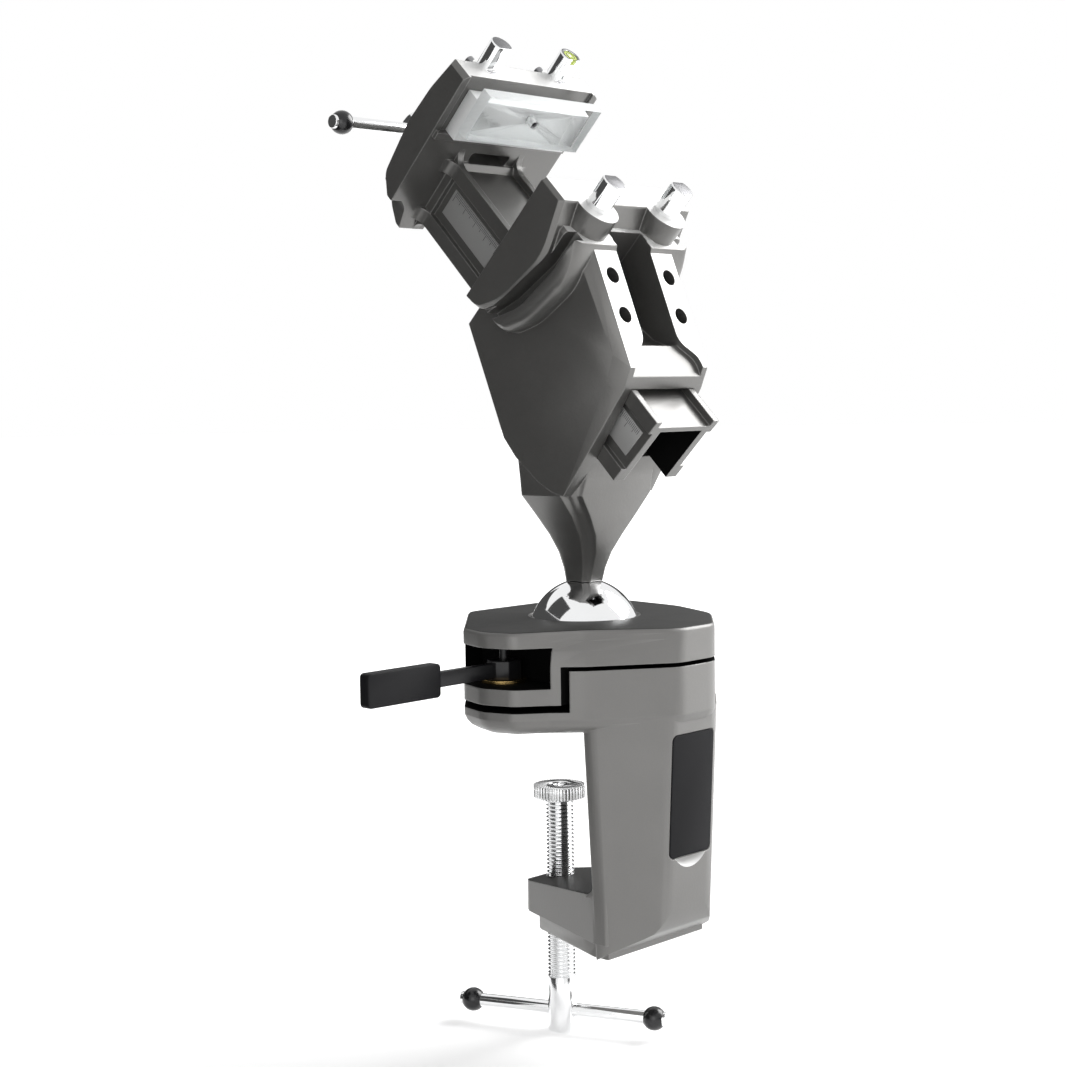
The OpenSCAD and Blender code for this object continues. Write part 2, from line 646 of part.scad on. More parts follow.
module fixed_plate_screw() color("gray") at_head() translate([0, 0, fixed_hole_t])
    plate_screw(fixed_plate_s - 8, jaw_face + fixed_plate_proud - 0.3);

// Two work pins with a flat towards the other jaw
module work_pins(s, side) {
    chamfer = 0.6;
    low = min(side * pin_flat, side * pin_d);
    both_sides(pin_half_gap) translate([0, s, jaw_top - pin_depth]) difference() {
        rotate_extrude() polygon([[0, 0], [pin_d / 2, 0], [pin_d / 2, pin_depth + pin_rise - chamfer],
            [pin_d / 2 - chamfer, pin_depth + pin_rise], [0, pin_depth + pin_rise]]);
        block(-far, far, low, low + pin_d - pin_flat, pin_depth + 2, far);
    }
}

module fixed_pins() color("silver") at_head() work_pins(fixed_pin_s, 1);

module fixed_pin_screws() color([0.2, 0.2, 0.2]) at_head() both_sides(pin_half_gap)
    translate([0, 0, pin_screw_t]) difference() {
        along_s(fixed_pin_s + pin_d / 2, jaw_face - 1, 2.45);
        translate([0, jaw_face - 3, 0]) rotate([-90, 0, 0]) cylinder(h = 3, r = 1.2, $fn = 6);
    }

// Nut fixed in the body: a block inside the bar on a foot through the bar's open side
module screw_nut() color("goldenrod") at_head() difference() {
    union() {
        block(-12, 12, nut_s - nut_half, nut_s + nut_half, bar_t - 8.6, bar_t + 8.6);
        block(-9, 9, nut_s - nut_half, nut_s + nut_half, bar_bottom - slide_gap, bar_t);
    }
    translate([0, 0, bar_t]) along_s(nut_s - 20, nut_s + 20, vise_screw_d / 2 + run_gap);
    translate([0, nut_s, 0]) cylinder(h = bar_t - vise_screw_d / 2 - 3, r = 4);
}

module nut_screw() color("gray") at_head() translate([0, nut_s, 0]) {
    translate([0, 0, bar_bottom - 17]) difference() {
        cylinder(h = 8, r = 6.5);
        translate([0, 0, -1]) cylinder(h = 5, r = 3.5, $fn = 6);
    }
    translate([0, 0, bar_bottom - 9 - touch]) cylinder(h = 18, r = 3.95);
}

// Section of the bar: open below, with a rib along each corner
module bar_section() {
    difference() {
        square([2 * bar_half_w, 2 * bar_half_h], center = true);
        translate([-bar_inner_w, -far]) square([2 * bar_inner_w, far + bar_half_h - bar_roof]);
        both_sides(bar_half_w) square([2 * rib_depth, 2 * (bar_half_h - rib_h)], center = true);
        translate([0, bar_half_h]) square([2 * top_recess_w, 2 * top_recess], center = true);
    }
}

// Fillets that widen the ribs of the bar into the jaw's front
module fillet(r) {
    difference() {
        square(r);
        translate([r + 0.05, r + 0.05]) circle(r = r);
    }
}

module rib_flares(front) {
    for (mx = [0, 1]) for (mz = [0, 1]) translate([0, front + touch, bar_t]) mirror([mx, 0, 0]) mirror([0, 0, mz]) {
        translate([bar_half_w - touch, 0, bar_half_h - rib_h]) linear_extrude(rib_h) mirror([0, 1]) fillet(flare_out);
        translate([bar_half_w - rib_w / 2, 0, bar_half_h - touch]) along_x(rib_w / 2) mirror([1, 0]) fillet(flare_up);
    }
}

// Jaw plate in side view, from its face back; rise and crown make the middle larger
function moving_side(rise, crown) = let (f = moving_face - 1.5)
    [[f, jaw_top + rise, 0.5], [f, 93.5, 0.5], [f + 4, 93.5, 2], [f + 13 + crown, 101 - crown, 8],
     [f + 17 + crown, 130, 40], [f + 15.5 + crown, 152, 40], [f + 12 + crown, jaw_top + rise, 1]];

// Foot of the jaw round the bar's lower ribs, narrower than the plate
module jaw_foot(front) {
    intersection() {
        along_x(far) polygon(outline([[front, 104, 0.5], [front, foot_low, 0.5], [front + 2.5, foot_low, 1.5],
            [front + 10, bar_bottom - 1, 10], [front + 17, bar_bottom + 9, 10], [front + 17.5, 104, 1]]));
        translate([0, front + far, 0]) rotate([90, 0, 0]) linear_extrude(2 * far)
            polygon(outline([[-5, 104, 0.1], [-5, foot_low, 0.1], [foot_half_w, foot_low, 1.5], [foot_half_w + 4, 90, 10],
                [foot_half_w + 9, 94, 2], [foot_half_w + 9, 104, 0.1]]));
    }
}

module moving_jaw() color([0.42, 0.42, 0.41]) at_head() difference() {
    front = moving_face - 1.5;
    union() {
        translate([0, moving_face, bar_t]) rotate([90, 0, 0]) linear_extrude(moving_face - bar_end) bar_section();
        // The recesses of the bar end short of the jaw
        block(-bar_half_w, bar_half_w, front - 5, moving_face, bar_t - bar_half_h + rib_h - touch,
            bar_t + bar_half_h - rib_h + touch);
        along_x(top_recess_w + touch) polygon([[front - 4, bar_top - top_recess - 1], [moving_face, bar_top - top_recess - 1],
            [moving_face, window_low], [front - 1.2, window_low], [front - 3, bar_top - top_recess + 0.8]]);
        rib_flares(front);
        for (mx = [0, 1]) mirror([mx, 0, 0]) jaw_foot(front);
        hull() {
            along_x(44.7) polygon(outline(moving_side(1.5, 2)));
            along_x(47.7) polygon(outline(moving_side(-0.5, 0)));
        }
        // Boss that carries the screw's hub
        translate([0, 0, bar_t]) along_s(moving_face, hub_face - 0.1, vise_hub_d / 2 + 3);
        // Ledge under the plates
        block(-46, 46, moving_face - 3.5, moving_face, ledge_low, ledge_top);
        both_sides(pin_half_gap) translate([0, moving_pin_s, jaw_top - 30]) cylinder(h = 30, r = pin_d / 2 + 2);
    }
    // Seat of the jaw plate, between the side rims
    block(-43.5, 43.5, front - 0.5, moving_face, ledge_top, far);
    // Hollow of the bar runs on into the jaw
    block(-bar_inner_w, bar_inner_w, bar_end - 1, moving_face + 4, 0, bar_top - bar_roof);
    // Window over the bar, under the ledge
    translate([0, moving_face + 8, 0]) rotate([90, 0, 0]) linear_extrude(20)
        polygon(outline([[window_w, window_low, 1.8], [window_w, ledge_low - 7, 1.8], [-window_w, ledge_low - 7, 1.8],
            [-window_w, window_low, 1.8]]));
    translate([0, 0, bar_t]) along_s(moving_face, moving_face + far, vise_screw_d / 2 + run_gap);
    both_sides(pin_half_gap) translate([0, moving_pin_s, jaw_top - pin_depth]) cylinder(h = far, r = pin_d / 2);
    both_sides(pin_half_gap) translate([0, 0, pin_screw_t]) along_s(moving_pin_s, moving_pin_s + far, 2.5);
    translate([0, 0, plate_hole_t]) along_s(front - 1, moving_face + 8.5, plate_hole_d / 2);
}

module moving_jaw_insert() color([0.3, 0.3, 0.3]) at_head() difference() {
    block(-plate_half_w, plate_half_w, moving_face - insert_t, moving_face, insert_low, insert_high);
    translate([0, 0, plate_hole_t]) along_s(0, far, plate_hole_d / 2);
}

module moving_clear_plate() color([0.9, 0.93, 0.94, 0.4]) at_head() difference() {
    block(-plate_half_w - 0.6, plate_half_w + 0.6, moving_face - insert_t - clear_t, moving_face - insert_t,
        clear_low, jaw_top + 0.6);
    translate([0, 0, plate_hole_t]) along_s(0, far, plate_hole_d / 2);
}

module moving_plate_screw() color("gray") at_head() translate([0, 0, plate_hole_t])
    plate_screw(moving_face + 8, moving_face - insert_t - clear_t + 1);

module vial_seat(r, h) {
    translate([level_pin_x, moving_pin_s, jaw_top + pin_rise - vial_h]) cylinder(h = h, r = r);
}

module moving_pins() color("silver") at_head() difference() {
    work_pins(moving_pin_s, -1);
    vial_seat(vial_d / 2, vial_h + 1);
}

module bubble_vial() color([0.75, 0.8, 0.35, 0.8]) at_head() vial_seat(vial_d / 2, vial_h - 0.2);

module moving_pin_screws() color([0.2, 0.2, 0.2]) at_head() both_sides(pin_half_gap)
    translate([0, 0, pin_screw_t]) along_s(moving_pin_s + pin_d / 2, moving_pin_s + 13, 2.45);

module vise_screw() color("silver") at_head() translate([0, 0, bar_t]) difference() {
    union() {
        translate([0, screw_start, 0]) rotate([-90, 0, 0])
            grooved_rod(vise_screw_d, vise_pitch, 0, moving_face - 14 - screw_start);
        along_s(moving_face - 14.1, hub_face + 0.2, vise_screw_d / 2);
        along_s(hub_face + 0.1, hub_face + hub_len, vise_hub_d / 2);
    }
    translate([0, vise_handle_s, 0]) rotate([0, 90, 0]) cylinder(h = far, r = handle_d / 2 + run_gap, center = true);
}

// Retaining ring that keeps the screw in the jaw
module screw_ring() color("gray") at_head() translate([0, 0, bar_t]) difference() {
    along_s(moving_face + 0.5, moving_face + 3.5, 8.5);
    along_s(moving_face - 1, moving_face + 5, vise_screw_d / 2);
}

module vise_handle_bar() color("silver") at_head() translate([0, vise_handle_s, bar_t])
    handle_bar(vise_handle_span);

module vise_handle_balls() color([0.05, 0.05, 0.05]) at_head() translate([0, vise_handle_s, bar_t])
    handle_balls(vise_handle_span);

clamp_frame();
socket_cap();
cap_screws();
ball_seat();
lever_stud();
lever_washer();
lever_arm();
lever_grip();
label_plate();
bench_screw();
bench_pad();
pad_screw();
bench_handle_bar();
bench_handle_balls();
ball();
neck_pin();
vise_body();
fixed_jaw_insert();
fixed_plate_screw();
fixed_pins();
fixed_pin_screws();
screw_nut();
nut_screw();
moving_jaw();
moving_jaw_insert();
moving_clear_plate();
moving_plate_screw();
moving_pins();
moving_pin_screws();
bubble_vial();
vise_screw();
screw_ring();
vise_handle_bar();
vise_handle_balls();
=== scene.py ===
# %% [markdown]
# # A small vise on a ball joint
# The object is a bench vise whose head tilts and turns on a plated ball. The
# ball sits in a socket over a screw clamp for the bench edge. The CAD model
# already has the right sizes, so this lesson loads it and gives it its looks:
# rounded edges, cut threads, a graduated scale and the finish of each metal.
# Nothing is moved, because every piece shares the CAD model's coordinates.

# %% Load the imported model
import json
import math

import bmesh
import bpy
from mathutils import Matrix, Vector


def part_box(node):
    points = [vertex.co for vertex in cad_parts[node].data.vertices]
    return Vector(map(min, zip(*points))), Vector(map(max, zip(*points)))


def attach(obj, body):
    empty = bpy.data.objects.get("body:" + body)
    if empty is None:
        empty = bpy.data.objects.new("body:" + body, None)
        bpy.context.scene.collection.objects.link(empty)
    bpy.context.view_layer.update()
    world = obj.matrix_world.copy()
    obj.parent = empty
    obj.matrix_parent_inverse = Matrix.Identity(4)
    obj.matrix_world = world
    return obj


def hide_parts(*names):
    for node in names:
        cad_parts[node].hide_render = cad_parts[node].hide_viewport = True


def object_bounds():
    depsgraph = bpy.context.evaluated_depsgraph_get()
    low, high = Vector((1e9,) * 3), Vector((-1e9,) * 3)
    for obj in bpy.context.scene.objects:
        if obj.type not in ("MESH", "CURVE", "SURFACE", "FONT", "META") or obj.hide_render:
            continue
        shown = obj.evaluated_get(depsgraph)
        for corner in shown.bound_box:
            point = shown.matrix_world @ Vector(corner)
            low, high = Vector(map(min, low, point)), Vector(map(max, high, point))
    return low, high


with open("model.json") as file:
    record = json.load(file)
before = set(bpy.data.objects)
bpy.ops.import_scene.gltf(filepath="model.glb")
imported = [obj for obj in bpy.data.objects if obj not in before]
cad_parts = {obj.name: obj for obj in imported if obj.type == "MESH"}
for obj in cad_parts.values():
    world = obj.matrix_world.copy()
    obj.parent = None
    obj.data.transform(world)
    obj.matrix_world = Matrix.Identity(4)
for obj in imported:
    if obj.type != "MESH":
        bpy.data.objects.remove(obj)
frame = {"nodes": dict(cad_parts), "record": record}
cad_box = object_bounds()
nodes = frame["nodes"]
MM = 0.001

# %% [markdown]
# The camera comes first, because every choice of shape and light is judged
# through it. A long lens keeps the jaws' edges nearly parallel, as in a
# catalogue picture. Its place was found by matching corners of the object, so
# the three directions of its view are written out instead of a target.

# %% Camera
camera_data = bpy.data.cameras.new("catalogue_camera")
camera_data.lens = 65.2
camera_data.sensor_width = 36.0
camera = bpy.data.objects.new("catalogue_camera", camera_data)
bpy.context.scene.collection.objects.link(camera)
right, up = Vector((0.6927, -0.7212, -0.0141)), Vector((0.0643, 0.0423, 0.9970))
ahead = up.cross(right).normalized()
right = ahead.cross(up).normalized()
camera.matrix_world = Matrix.Translation((-0.7026, -0.6606, 0.1608)) @ Matrix(
    (right, up, -ahead)
).transposed().to_4x4()
bpy.context.scene.camera = camera
print("camera looks along", [round(v, 3) for v in ahead])

# %% [markdown]
# A material is a small graph of nodes. Written out node by node, even a mask
# such as 1 - height * 3 takes many lines. This class wraps a socket, so that
# the usual operators add the Math nodes, and the expression reads as it would
# on paper.


# %% Arithmetic on sockets
class Term:
    """A socket that takes part in sums and products."""

    def __init__(self, finish, socket):
        self.finish, self.socket = finish, socket

    def math(self, operation, *terms, clamp=False):
        settings = {"operation": operation, "use_clamp": clamp}
        return self.finish.node("ShaderNodeMath", settings, dict(enumerate(terms)))

    def __add__(self, other):
        return self.math("ADD", self, other)

    def __sub__(self, other):
        return self.math("SUBTRACT", self, other)

    def __rsub__(self, other):
        return self.math("SUBTRACT", other, self)

    def __mul__(self, other):
        return self.math("MULTIPLY", self, other)

    def clamped(self):
        return self.math("ADD", self, 0.0, clamp=True)


# %% [markdown]
# A finish is one material while it is being made. Its method `node` adds any
# node from its type, its settings and what goes into its sockets. Patterns are
# read from Object coordinates, which are metres here, so a noise of scale 900
# has grains of about a millimetre on every piece, large or small.


# %% One material under construction
class Finish:
    """A material with a Principled shader and helpers for its pattern."""

    def __init__(self, name, slot, **fixed):
        self.slot = slot
        self.material = bpy.data.materials.new(name)
        self.material.use_nodes = True
        self.tree = self.material.node_tree
        self.shader = self.tree.nodes["Principled BSDF"]
        for socket, value in fixed.items():
            self.put(self.shader, socket.replace("_", " "), value)
        self.place = self.node("ShaderNodeTexCoord", {}, {}, "Object")

    def put(self, node, socket, value):
        if isinstance(value, Term):
            self.tree.links.new(value.socket, node.inputs[socket])
        elif isinstance(value, (tuple, list)) and len(value) == 3 and node.inputs[socket].type == "RGBA":
            node.inputs[socket].default_value = (*value, 1.0)
        else:
            node.inputs[socket].default_value = value

    def node(self, kind, settings, inputs, output=0):
        node = self.tree.nodes.new(kind)
        for name, value in settings.items():
            if name == "stops":
                ramp = node.color_ramp
                while len(ramp.elements) < len(value):
                    ramp.elements.new(1.0)
                for element, (position, shade) in zip(ramp.elements, value):
                    element.position = position
                    element.color = (*shade, 1.0)
            else:
                setattr(node, name, value)
        for socket, value in inputs.items():
            self.put(node, socket, value)
        return Term(self, node.outputs[output])

    def noise(self, scale, detail=2.0, stretch=None):
        place = self.place
        if stretch:
            place = self.node("ShaderNodeMapping", {}, {"Vector": place, "Scale": stretch})
        inputs = {"Vector": place, "Scale": scale, "Detail": detail}
        return self.node("ShaderNodeTexNoise", {}, inputs, "Fac")

    def part(self, axis):
        return self.node("ShaderNodeSeparateXYZ", {}, {"Vector": self.place}, axis)

    def blend(self, mask, low, high):
        inputs = {"Factor": mask, "A": low, "B": high}
        node = self.tree.nodes.new("ShaderNodeMix")
        node.data_type = "RGBA"
        for name, value in inputs.items():
            socket = next(s for s in node.inputs if s.name == name and s.enabled)
            if isinstance(value, Term):
                self.tree.links.new(value.socket, socket)
            else:
                socket.default_value = (*value, 1.0) if name != "Factor" else value
        return Term(self, next(s for s in node.outputs if s.enabled))

    def edges(self, radius):
        """The normal as if every edge had this radius, for soft highlights."""
        return self.node("ShaderNodeBevel", {"samples": 6}, {"Radius": radius})

    def surface(self, **varying):
        for socket, value in varying.items():
            self.put(self.shader, socket.replace("_", " "), value)

    def bump(self, height, strength, distance, normal=None):
        inputs = {"Height": height, "Strength": strength, "Distance": distance}
        if normal:
            inputs["Normal"] = normal
        self.surface(Normal=self.node("ShaderNodeBump", {}, inputs))
        return self


# %% [markdown]
# The floor and the room come next. A catalogue picture has no visible room, so
# the floor is a wide disc that turns into plain white with distance, where it
# meets a white world. Near the object it stays a real surface and keeps the
# shadow. Glossy and see-through rays see the same white as the camera does.

# %% Floor and world
FLOOR_GAP, FLOOR_RADIUS = 0.0004, 14.0
WHITE = (1.0, 1.0, 1.0)
PAPER = (0.86, 0.86, 0.86)
floor_z = cad_box[0][2] - FLOOR_GAP


def ray_mask(finish):
    """1 for rays from the camera, from gloss and through clear plastic."""
    camera_ray, *others = [finish.node("ShaderNodeLightPath", {}, {}, "Is %s Ray" % kind)
                           for kind in ("Camera", "Glossy", "Transmission")]
    return sum(others, camera_ray).clamped()


def object_of(name, bm, material):
    """An object made of a bmesh, at the origin and in one material."""
    mesh = bpy.data.meshes.new(name)
    bm.to_mesh(mesh)
    bm.free()
    mesh.materials.append(material)
    made = bpy.data.objects.new(name, mesh)
    bpy.context.scene.collection.objects.link(made)
    return made


paper = Finish("floor_paper", None, Base_Color=PAPER, Roughness=0.9, Emission_Color=WHITE)
distance = paper.node("ShaderNodeVectorMath", {"operation": "LENGTH"}, {0: paper.place}, "Value")
far_away = (distance * 0.8 - 0.2).clamped()
paper.surface(Emission_Strength=ray_mask(paper) * (far_away * 0.6 + 0.42))
bm = bmesh.new()
bmesh.ops.create_circle(bm, cap_ends=True, segments=96, radius=FLOOR_RADIUS)
bmesh.ops.translate(bm, verts=bm.verts, vec=(0, 0, floor_z))
object_of("floor", bm, paper.material)

world = bpy.data.worlds.new("studio")
world.use_nodes = True
bpy.context.scene.world = world
sky = Finish.__new__(Finish)
sky.tree = world.node_tree
sky.place = sky.node("ShaderNodeTexCoord", {}, {}, "Generated")
# Grey levels from straight down, over the horizon, to straight up
SKY = [(0.0, (0.35,) * 3), (0.45, (0.5,) * 3), (0.6, (0.6,) * 3), (1.0, (0.3,) * 3)]
glow = sky.node("ShaderNodeValToRGB", {"stops": SKY}, {"Fac": sky.part("Z") * 0.5 + 0.5}, "Color")
sky.put(sky.tree.nodes["Background"], "Color", sky.blend(ray_mask(sky), glow, WHITE))

# %% [markdown]
# Bright metal shows its surroundings, and in an all-white room it looks like
# white paint. A photographer puts black cards beside the set, out of the
# picture. These are seen by reflections alone. Those to the left, behind and
# above darken the flanks of the castings, the one on the far side darkens the
# flat tops, and the small one in front draws a dark band on ball and pins.

# %% Black cards
card_felt = Finish("black_card", None, Base_Color=(0.0, 0.0, 0.0), Roughness=1.0,
                   Emission_Color=WHITE, Emission_Strength=0.07, Specular_IOR_Level=0.0)
OBJECT_MIDDLE = (0, 0, 0.1)


def card(name, place, size, target=OBJECT_MIDDLE):
    """A card at a place, turned to a target, that only reflections see."""
    bm = bmesh.new()
    bmesh.ops.create_grid(bm, x_segments=1, y_segments=1, size=0.5)
    bmesh.ops.scale(bm, verts=bm.verts, vec=(*size, 1.0))
    turn = (Vector(target) - Vector(place)).to_track_quat("Z", "Y").to_matrix().to_4x4()
    bmesh.ops.transform(bm, matrix=Matrix.Translation(place) @ turn, verts=bm.verts)
    made = object_of(name, bm, card_felt.material)
    for rays in ("camera", "diffuse", "transmission", "shadow", "volume_scatter"):
        setattr(made, "visible_" + rays, False)


card("card_left", (-1.15, 1.1, 0.25), (2.4, 1.4))
card("card_low_left", (-0.75, 0.8, floor_z + 0.004), (1.1, 1.6), (-0.75, 0.8, 1.0))
card("card_far", (1.1, 1.05, 0.28), (1.5, 0.55))
card("card_back", (0.15, 1.6, 0.35), (1.2, 1.2))
card("card_above", (-0.8, 0.7, 1.15), (1.2, 0.8))
card("card_front", (0.25, -1.55, -0.02), (0.55, 0.5))

# %% [markdown]
# Three lamps light the object. A wide one stands to the right and shines down
# at the rails, the jaws' tops and the bar, which turn that way and go nearly
# white. A tall one from the right lights the upright faces beside them, and a
# weak one by the camera keeps the dark sides readable. They are area lamps,
# because a small lamp would leave hard shadows and hot spots.

# %% Lamps
LAMP_TARGET = (0, 0, 0.12)


def lamp(name, place, size, power):
    data = bpy.data.lights.new(name, "AREA")
    data.shape, data.size, data.size_y = "RECTANGLE", *size
    data.energy = power
    light = bpy.data.objects.new(name, data)
    turn = (Vector(LAMP_TARGET) - Vector(place)).to_track_quat("-Z", "Y").to_matrix().to_4x4()
    light.matrix_world = Matrix.Translation(place) @ turn
    bpy.context.scene.collection.objects.link(light)


lamp("right_high", (1.25, -0.55, 1.0), (1.2, 1.0), 34.0)
lamp("right_side", (1.0, -1.2, 0.15), (0.7, 1.0), 3.0)
lamp("camera_side", (-1.3, -0.9, 0.35), (0.9, 0.9), 3.4)
view = bpy.context.scene.view_settings
view.view_transform = "Standard"
print("floor at", round(floor_z, 4))

# %% [markdown]
# The castings carry a dark metallic coat. Metallic paint has three scales: the
# coat's slight orange peel, grains of flake that vary in tone, and a clear
# gloss over both. The peel is a bump, the flake changes colour and roughness,
# and the gloss is the shader's Coat. The coat is painted a little paler along
# the edges, partly as rubbing wear and partly as a painted highlight, from the
# difference between the rounded normal and the flat one. The head is glossy
# and more metallic, the clamp frame is satin. The flat tops of cap and arm are
# painted darker and duller than their sides, a painted shade for the dark
# surroundings they reflect.


# %% Coats of the castings
def cast_coat(name, slot, tone, metal, rough, gloss, rubbed_and_highlit, shine=0.5):
    coat = Finish(name, slot, Metallic=metal, Coat_Weight=gloss, Coat_Roughness=0.12,
                  Specular_IOR_Level=shine)
    soft = coat.edges(0.0009)
    flat = coat.node("ShaderNodeNewGeometry", {}, {}, "True Normal")
    likeness = coat.node("ShaderNodeVectorMath", {"operation": "DOT_PRODUCT"}, {0: soft, 1: flat}, "Value")
    edge_wear_and_highlight = 1.0 - likeness
    flake = coat.noise(3800, 1.0)
    cloud = coat.noise(35, 3.0)
    shade = (flake * 0.5 + cloud * 0.5).clamped()
    plain = coat.blend(shade, [v * 0.82 for v in tone], [min(1, v * 1.2) for v in tone])
    # Paler edges: partly rubbing wear, partly a painted highlight along every edge
    worn_and_highlit = (edge_wear_and_highlight * 3.0).clamped() * rubbed_and_highlit
    coat.surface(Base_Color=coat.blend(worn_and_highlit, plain, [min(1, v * 2.2 + 0.05) for v in tone]),
                 Roughness=(cloud - 0.5) * 0.1 + (flake - 0.5) * 0.08 + rough)
    return coat.bump(coat.noise(700, 2.0), 0.12, 0.0004, soft)


head_coat = cast_coat("head_coat", "cast_coat", (0.14, 0.138, 0.133), 0.6, 0.32, 0.12, 0.6)
base_coat = cast_coat("base_coat", "base_coat", (0.185, 0.182, 0.176), 0.35, 0.42, 0.08, 0.4)
# Painted shade: the flat tops get a darker, duller tone that stands for the dark surroundings they reflect
painted_shade_top = cast_coat("cap_top_painted_shade", "base_coat", (0.024, 0.024, 0.023), 0.15, 0.55, 0.02, 0.8, 0.2)

# %% [markdown]
# Bright metal is mostly what it reflects, so its own pattern must stay faint.
# Plating gets a trace of polishing haze, turned steel gets fine rings, and the
# ground faces get short parallel lines from the grinding wheel. The rails, the
# jaws' tops and the scoop are cut through the coat, and they are painted paler
# still, as a painted highlight of the light they face.


# %% Bright metals
def bright(name, slot, tone, rough, scale, stretch, depth, metallic=1.0):
    metal = Finish(name, slot, Metallic=metallic)
    grain = metal.noise(scale, 3.0, stretch)
    haze = metal.noise(60, 3.0)
    metal.surface(Base_Color=metal.blend(haze, [v * 0.94 for v in tone], tone),
                  Roughness=grain * 0.05 + haze * 0.04 + rough)
    return metal.bump(grain, 0.08, depth, metal.edges(0.0003))


chrome = bright("plating", "chrome", (0.9, 0.905, 0.91), 0.03, 300, (1, 1, 1), 0.00002)
pin_end = bright("turned_pin_end", "chrome", (0.14, 0.14, 0.145), 0.34, 2600, (1, 1, 1), 0.0001)
# Painted highlight: the scoop is bare milled metal, painted near white for the light it catches from above
scoop_milled_and_highlight = bright("milled_scoop_painted_highlight", "base_coat", (0.86, 0.86, 0.85), 0.5, 1200, (1, 0.05, 1), 0.00005, 0.1)
plated = bright("bright_plated_steel", "bright_steel", (0.86, 0.865, 0.87), 0.07, 700, (1, 1, 8), 0.00004)
screw_metal = bright("dark_screw_steel", "screw_steel", (0.3, 0.3, 0.31), 0.3, 900, (1, 1, 1), 0.00006)
ground = bright("ground_steel", "insert_steel", (0.8, 0.81, 0.81), 0.5, 1500, (0.05, 1, 1), 0.00003, 0.15)
milled = bright("milled_aluminium", "cast_coat", (0.38, 0.38, 0.375), 0.4, 1200, (0.05, 1, 1), 0.00005, 0.4)
# Painted highlight: the rails and jaws' tops are machined, and their pale tone also paints in the lamp's
# highlight
machined_and_highlight = bright("machined_face_painted_highlight", "cast_coat", (0.78, 0.78, 0.77), 0.42, 1200, (0.05, 1, 1), 0.00004, 0.3)
brass = bright("turned_brass", "brass", (0.72, 0.5, 0.2), 0.2, 700, (1, 1, 6), 0.00005)

# %% [markdown]
# Moulded black plastic isn't pure black: it has a soft sheen, a fine grain from
# the mould and paler spots where it is handled. The bearing ring is a dull
# natural plastic, and the label is a bare dark film. The faces in the slits, in
# the bar and in the lever's window are painted matt black as painted shade,
# because light hardly reaches them.


# %% Plastics and label
def plastic(name, slot, tone, rough, grain, depth, shine=0.5):
    mould = Finish(name, slot, Coat_Weight=0.1 * shine, Coat_Roughness=0.25, Specular_IOR_Level=shine)
    handled = mould.noise(45, 4.0)
    mould.surface(Base_Color=mould.blend(handled, tone, [v * 1.5 + 0.004 for v in tone]),
                  Roughness=handled * 0.14 + rough)
    return mould.bump(mould.noise(grain, 2.0), 0.2, depth, mould.edges(0.0006))


black_ball = plastic("black_ball", "black_plastic", (0.004, 0.004, 0.005), 0.16, 500, 0.00003)
black_grip = plastic("black_grip", "black_plastic", (0.005, 0.005, 0.006), 0.36, 2400, 0.0001, 0.15)
black_arm = plastic("black_arm_coat", "black_metal", (0.008, 0.008, 0.009), 0.26, 1500, 0.00008, 0.3)
# Painted shade: near black for faces deep in the slits, the bar and the lever's window
painted_gap_shade = plastic("painted_shade_in_gaps", "base_coat", (0.0015, 0.0015, 0.0015), 0.8, 1500, 0.00003, 0.05)
bearing = plastic("bearing_ring", "seat_plastic", (0.6, 0.57, 0.47), 0.45, 1500, 0.0001)
label_film = plastic("bare_label", "label_film", (0.009, 0.009, 0.01), 0.55, 3000, 0.00005, 0.12)
tick_ink = plastic("tick_paint", "cast_coat", (0.012, 0.012, 0.012), 0.5, 3000, 0.00003)

# %% [markdown]
# The jaw's clear plate is acrylic. Its polished faces refract, while its sawn
# edges scatter light and look white. The level in one pin is a tinted liquid
# with a faint painted glow, a bubble painted pale as a painted reflection, and
# two dark rings that centre it.

# %% Clear plate and level
acrylic = Finish("clear_acrylic", "clear_plastic", Base_Color=(0.98, 0.99, 0.99),
                 Transmission_Weight=1.0, IOR=1.12)
acrylic.surface(Roughness=acrylic.noise(120, 3.0) * 0.02)
acrylic.bump(acrylic.noise(400, 2.0), 0.03, 0.00002, acrylic.edges(0.0003))
sawn_edge = Finish("sawn_acrylic", "clear_plastic", Transmission_Weight=0.25, IOR=1.45)
saw_marks = sawn_edge.noise(900, 2.0, (1, 0.1, 1))
sawn_edge.surface(Base_Color=sawn_edge.blend(saw_marks, (0.7, 0.72, 0.72), (0.84, 0.86, 0.86)),
                  Roughness=saw_marks * 0.2 + 0.3)
# Painted glow: the liquid emits a faint light of its own, though it is no lamp
liquid = Finish("level_liquid", "vial_liquid", Base_Color=(0.62, 0.74, 0.12), Roughness=0.06,
                Transmission_Weight=0.35, Emission_Strength=0.1)
painted_glow_swirl = liquid.noise(300, 2.0)
liquid.surface(Emission_Color=liquid.blend(painted_glow_swirl, (0.5, 0.62, 0.1), (0.6, 0.7, 0.16)))
# Painted reflection: the bubble's pale tone stands for the light an air bubble reflects
bubble_painted_sheen = Finish("level_bubble", "vial_liquid", Roughness=0.1, Coat_Weight=1.0)
sheen = bubble_painted_sheen.noise(500, 2.0)
bubble_painted_sheen.surface(Base_Color=bubble_painted_sheen.blend(sheen, (0.78, 0.85, 0.42), (0.9, 0.94, 0.62)))
print("finishes:", len(bpy.data.materials))

# %% [markdown]
# CAD exports loose triangles with sharp edges. To look cast or turned, a piece
# needs shared points and smooth faces that stop at real edges. So each CAD
# part is copied, its doubles are merged, and edges sharper than an angle are
# marked. The CAD part stays in the file for collisions, and the copy is shown.

